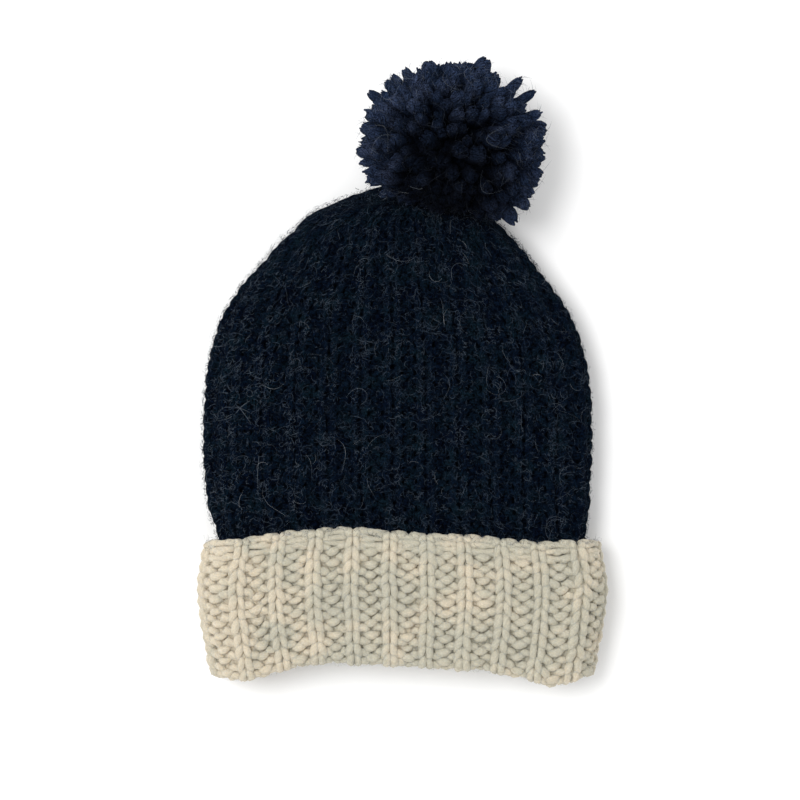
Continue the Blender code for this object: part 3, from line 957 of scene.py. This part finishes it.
def pompom_fibres(layout):
    """Fine fibres that fray out of the strands and their ends."""
    count = 8000
    points = 5
    chosen = chance.integers(0, len(layout[0]), count)
    at = 0.70 + 0.29 * chance.random(count) ** 0.8
    ways, reach, radii, bend = (a[chosen] for a in layout)
    share = np.linspace(0.0, 1.0, points)
    length = 0.0015 + 0.0045 * chance.random(count) ** 2
    root = strand_paths(ways, reach, bend, at[:, None])[:, 0]
    side = unit(np.cross(ways, chance.normal(0.0, 1.0, ways.shape)))
    other = np.cross(ways, side)
    start = root + side * (radii * 0.85)[:, None]
    heading = 0.75 * ways + (0.2 + 0.5 * chance.random(count))[:, None] * side
    heading = unit(heading + other * chance.normal(0.0, 0.5, count)[:, None])
    turning = other * chance.normal(0.0, 0.9, count)[:, None]
    turning = turning - side * chance.normal(0.3, 0.6, count)[:, None]
    run = (length[:, None] * share)[..., None]
    paths = start[:, None, :] + heading[:, None, :] * run + turning[:, None, :] * run * share[:, None]
    widths = np.full((count, points), 0.00014) * tapered(share)
    keep_off_floor(paths)
    outward = side[:, None, :] + 0.7 * np.array((0.0, 0.0, 1.0)) + 0.0 * paths
    return add_mesh("pompom_fibres", *ribbon_mesh(paths, widths, outward))


def pompom_arcs():
    """Long smooth fibres that lie in arcs over the pompom."""
    count = 28
    points = 14
    ways = sphere_directions(count, 0.35)
    side = unit(np.cross(ways, chance.normal(0.0, 1.0, ways.shape)))
    other = np.cross(ways, side)
    share = np.linspace(-0.5, 0.5, points)
    span = (0.16 + 0.34 * chance.random(count))[:, None] * share
    curve = chance.normal(0.0, 0.5, count)[:, None] * share**2
    lines = ways[:, None, :] + side[:, None, :] * span[..., None] + other[:, None, :] * curve[..., None]
    lines = unit(lines)
    far = pom_reach(lines) * (0.97 + 0.03 * chance.random((count, 1)))
    paths = POM_CENTRE + lines * far[..., None]
    keep_off_floor(paths)
    widths = np.full((count, points), 0.00009) * (1.0 - 1.2 * np.abs(share))
    return add_mesh("pompom_arcs", *ribbon_mesh(paths, widths, lines))


def tie_plies():
    """The tie of three twisted plies that holds the pompom, through the crown's eye."""
    plies, points = 3, 25
    half_length, ply_radius, twist = 0.0085, 0.0019, 3.6
    share = np.linspace(-1.0, 1.0, points)
    paths = []
    for ply in range(plies):
        angle = 2.0 * np.pi * ply / plies + twist * share
        out = 0.0021 + 0.0009 * share**2
        paths.append(
            EYE + half_length * share[:, None] * EYE_AXIS
            + (out * np.cos(angle))[:, None] * EYE_SIDE
            + (out * np.sin(angle))[:, None] * EYE_UP
        )
    paths = np.array(paths)
    radii = np.full((plies, points), ply_radius) * np.minimum(1.0, 9.0 * (1.02 - np.abs(share)))
    return add_mesh("tie_plies", *tube_mesh(paths, radii, EYE_SIDE + 0.0 * paths, 10))


crown_tuft = tuft()
pom_fibres = pompom_fibres(strand_plan)
pom_arcs = pompom_arcs()


# Materials

def set_inputs(node, values):
    for name, value in values.items():
        node.inputs[name].default_value = value


def add_node(tree, kind, **values):
    node = tree.nodes.new(kind)
    for name, value in values.items():
        if name in node.inputs:
            node.inputs[name].default_value = value
        else:
            setattr(node, name, value)
    return node


def noise(tree, place, scale, detail, roughness):
    """A noise texture's value at the places that an output gives."""
    node = add_node(tree, "ShaderNodeTexNoise", Scale=scale, Detail=detail, Roughness=roughness)
    tree.links.new(place, node.inputs["Vector"])
    return node.outputs["Fac"]


def combine(tree, operation, first, second):
    """The sum or product of two outputs."""
    node = add_node(tree, "ShaderNodeMath", operation=operation)
    tree.links.new(first, node.inputs[0])
    tree.links.new(second, node.inputs[1])
    return node.outputs["Value"]


def remap(tree, value, start, end, to_start, to_end, kind="LINEAR"):
    """An output's range from start to end, carried to another range."""
    node = add_node(tree, "ShaderNodeMapRange", interpolation_type=kind)
    set_inputs(node, {"From Min": start, "From Max": end, "To Min": to_start, "To Max": to_end})
    tree.links.new(value, node.inputs["Value"])
    return node.outputs["Result"]


# Painted light: how far toward the hat's left the wool is painted paler, on the side the
# key light comes from. Painted shade and light round a centre: how far off it the wool is
# painted darker and lighter, and the level it has there
PAINTED_LIGHT_START, PAINTED_LIGHT_END = -0.035, -0.100
PAINTED_SHADE_REACH, PAINTED_LIGHT_REACH = 0.027, 0.052
PAINTED_SHADE_LEVEL, PAINTED_LIGHT_LEVEL = 0.20, 2.00


def wool(name, shades, speck=0.3, streak=300.0, bump=0.2, roughness=0.8, sheen=0.0,
         sheen_tint=(0.8, 0.85, 1.0), gloss=0.12, painted_light_left=0.0, fine=1000.0, soft=0.0, painted_shade_centre=None, patch=45.0):
    """Wool: patches of close shades, fibre streaks along the yarn and a soft bump.

    speck: how much lighter and darker its specks are. patch, fine: how small its patches
    and specks are. drift: how much painted light makes it paler at the hat's left, the side
    the key light comes from. deep: the centre round which painted shade makes it darker, as
    shade falls between packed strands, while painted light makes it lighter further out.
    """
    material = bpy.data.materials.new(name)
    material.use_nodes = True
    tree = material.node_tree
    shader = tree.nodes["Principled BSDF"]
    set_inputs(shader, {
        "Roughness": roughness,
        "Specular IOR Level": gloss,
        "Sheen Weight": sheen,
        "Sheen Roughness": 0.5,
        "Sheen Tint": (*sheen_tint, 1.0),
        "Subsurface Weight": soft,
        "Subsurface Radius": (1.0, 0.85, 0.65),
        "Subsurface Scale": 0.0016,
    })
    coordinates = add_node(tree, "ShaderNodeTexCoord")
    place = coordinates.outputs["Object"]
    ramp = add_node(tree, "ShaderNodeValToRGB")
    stops = ramp.color_ramp.elements
    stops[0].position, stops[1].position = 0.34, 0.66
    stops.new(0.5)
    for stop, colour in zip(stops, shades):
        stop.color = (*colour, 1.0)
    parts = add_node(tree, "ShaderNodeSeparateXYZ")
    tree.links.new(place, parts.inputs["Vector"])
    # Painted light: paler toward the hat's left, the side the key light comes from
    painted_light = remap(tree, parts.outputs["X"], PAINTED_LIGHT_START, PAINTED_LIGHT_END, 0.0, painted_light_left, "SMOOTHSTEP")
    shade = combine(tree, "ADD", noise(tree, place, patch, 3.0, 0.6), painted_light)
    tree.links.new(shade, ramp.inputs["Fac"])
    stretch = add_node(tree, "ShaderNodeMapping", Scale=(streak, 20.0, 1.0))
    tree.links.new(coordinates.outputs["UV"], stretch.inputs["Vector"])
    fibres = noise(tree, stretch.outputs["Vector"], 1.0, 4.0, 0.65)
    grain = noise(tree, place, fine, 2.0, 0.7)
    both = combine(tree, "MULTIPLY", fibres, grain)
    level = remap(tree, both, 0.17, 0.34, 1.0 - speck, 1.0 + speck)
    # Painted shade near the centre, where shade falls between packed strands, and painted light further
    # out toward the strand tips
    if painted_shade_centre is not None:
        away = add_node(tree, "ShaderNodeVectorMath", operation="DISTANCE")
        tree.links.new(place, away.inputs[0])
        away.inputs[1].default_value = painted_shade_centre
        painted_shade = remap(
            tree, away.outputs["Value"], PAINTED_SHADE_REACH, PAINTED_LIGHT_REACH, PAINTED_SHADE_LEVEL, PAINTED_LIGHT_LEVEL, "SMOOTHSTEP"
        )
        level = combine(tree, "MULTIPLY", level, painted_shade)
    tinted = add_node(tree, "ShaderNodeVectorMath", operation="SCALE")
    tree.links.new(ramp.outputs["Color"], tinted.inputs[0])
    tree.links.new(level, tinted.inputs["Scale"])
    tree.links.new(tinted.outputs["Vector"], shader.inputs["Base Color"])
    raised = add_node(tree, "ShaderNodeBump", Strength=bump, Distance=0.0006)
    tree.links.new(both, raised.inputs["Height"])
    tree.links.new(raised.outputs["Normal"], shader.inputs["Normal"])
    return material


# Painted light: the cream is painted paler toward the hat's left, where the key light falls
cream = wool(
    "cream_wool", ((0.408, 0.390, 0.318), (0.428, 0.403, 0.324), (0.515, 0.458, 0.358)),
    speck=0.12, streak=200.0, bump=0.8, roughness=0.85, sheen=0.08, sheen_tint=(1.0, 0.98, 0.92),
    gloss=0.10, painted_light_left=0.17, soft=0.55,
)
navy = wool(
    "navy_wool", ((0.0008, 0.0022, 0.0064), (0.0014, 0.0038, 0.0086), (0.0022, 0.0062, 0.0104)),
    speck=0.95, streak=260.0, bump=0.9, roughness=0.95, sheen_tint=(0.55, 0.65, 0.85), gloss=0.02,
    patch=90.0,
)
# Painted shade: the pompom's wool is painted darker round this centre, in front of its middle, and painted
# lighter toward its strand tips
POM_PAINTED_SHADE_CENTRE = tuple(POM_CENTRE + np.array((0.0, -0.008, 0.012)))
pom_navy = wool(
    "navy_pompom", ((0.0045, 0.0080, 0.0175), (0.0072, 0.0112, 0.0230), (0.0120, 0.0165, 0.0310)),
    speck=0.98, streak=90.0, bump=0.9, roughness=0.95, sheen_tint=(0.55, 0.62, 0.85), gloss=0.02,
    fine=1400.0, patch=90.0, painted_shade_centre=POM_PAINTED_SHADE_CENTRE,
)
pale_fibre = wool(
    "pale_fibre", ((0.050, 0.062, 0.080), (0.090, 0.105, 0.125), (0.20, 0.21, 0.23)),
    sheen=0.1, sheen_tint=(1.0, 1.0, 1.0),
)
# The same painted shade round the pompom's centre, and painted light toward its strand tips
pom_fuzz = wool(
    "pompom_fuzz", ((0.012, 0.017, 0.027), (0.029, 0.036, 0.050), (0.068, 0.078, 0.097)),
    gloss=0.03, patch=150.0, painted_shade_centre=POM_PAINTED_SHADE_CENTRE,
)
# Painted light: this fuzz is painted paler toward the hat's left, where the key light falls
fuzz_fibre = wool(
    "navy_fuzz", ((0.008, 0.015, 0.027), (0.024, 0.034, 0.051), (0.060, 0.076, 0.096)),
    gloss=0.03, painted_light_left=0.10, patch=150.0,
)
# Painted light: this fuzz is painted paler toward the hat's left, where the key light falls
soft_fuzz = wool(
    "navy_soft_fuzz", ((0.0048, 0.0100, 0.0190), (0.0150, 0.0225, 0.0350), (0.0350, 0.0450, 0.0600)),
    speck=0.4, roughness=0.9, gloss=0.02, painted_light_left=0.10, patch=110.0,
)


def dress(pieces, material, node):
    """Gives pieces their finish, puts them on the root body and hides the solid named node."""
    for piece in pieces:
        piece.data.materials.clear()
        piece.data.materials.append(material)
        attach(piece, "root")
        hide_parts(node)


dress((*cuff_pieces, cuff_fuzz), cream, "cuff")
dress(crown_pieces, navy, "crown")
dress((crown_fibres, crown_tuft), pale_fibre, "crown")
dress((edge_fuzz, crown_curls), fuzz_fibre, "crown")
dress((crown_fuzz,), soft_fuzz, "crown")
dress((pom_arcs,), pale_fibre, "pompom")
dress((pom_strands, pom_ends, pom_core), pom_navy, "pompom")
dress((pom_fibres,), pom_fuzz, "pompom")
dress((tie_plies(),), pom_navy, "pom_tie")


# Floor, light and camera

def floor():
    mesh = bpy.data.meshes.new("floor")
    half = 6.0
    corners = [(-half, -half, 0), (half, -half, 0), (half, half, 0), (-half, half, 0)]
    mesh.from_pydata(corners, [], [(0, 1, 2, 3)])
    item = bpy.data.objects.new("floor", mesh)
    bpy.context.scene.collection.objects.link(item)
    material = bpy.data.materials.new("pale_floor")
    material.use_nodes = True
    shader = material.node_tree.nodes["Principled BSDF"]
    white = (0.88, 0.88, 0.88, 1.0)
    set_inputs(shader, {"Base Color": white, "Roughness": 0.9, "Specular IOR Level": 0.1})
    mesh.materials.append(material)


def add_area(name, place, size, energy):
    light = bpy.data.lights.new(name, "AREA")
    light.shape = "DISK"
    light.size = size
    light.energy = energy
    item = bpy.data.objects.new(name, light)
    item.location = place
    item.rotation_mode = "QUATERNION"
    item.rotation_quaternion = (Vector((0.0, 0.0, 0.0)) - Vector(place)).to_track_quat("-Z", "Y")
    item.visible_camera = False
    bpy.context.scene.collection.objects.link(item)


floor()
add_area("key", place=(-1.2, 0.5, 3.0), size=1.6, energy=66.0)
world = bpy.data.worlds.new("studio")
world.use_nodes = True
background = world.node_tree.nodes["Background"]
set_inputs(background, {"Color": (1.0, 1.0, 1.0, 1.0), "Strength": 1.0})
bpy.context.scene.world = world
bpy.context.scene.view_settings.view_transform = "Standard"
bpy.context.scene.view_settings.look = "None"

VIEW_WIDTH = 0.432
VIEW_MIDDLE = (-0.00135, -0.01504)
VIEW_LEVEL = 0.025
VIEW_DISTANCE = 2.5
camera_data = bpy.data.cameras.new("camera")
camera = bpy.data.objects.new("camera", camera_data)
camera_data.lens = camera_data.sensor_width * VIEW_DISTANCE / VIEW_WIDTH
camera_data.clip_end = 50.0
camera.location = (*VIEW_MIDDLE, VIEW_LEVEL + VIEW_DISTANCE)
bpy.context.scene.collection.objects.link(camera)
bpy.context.scene.camera = camera
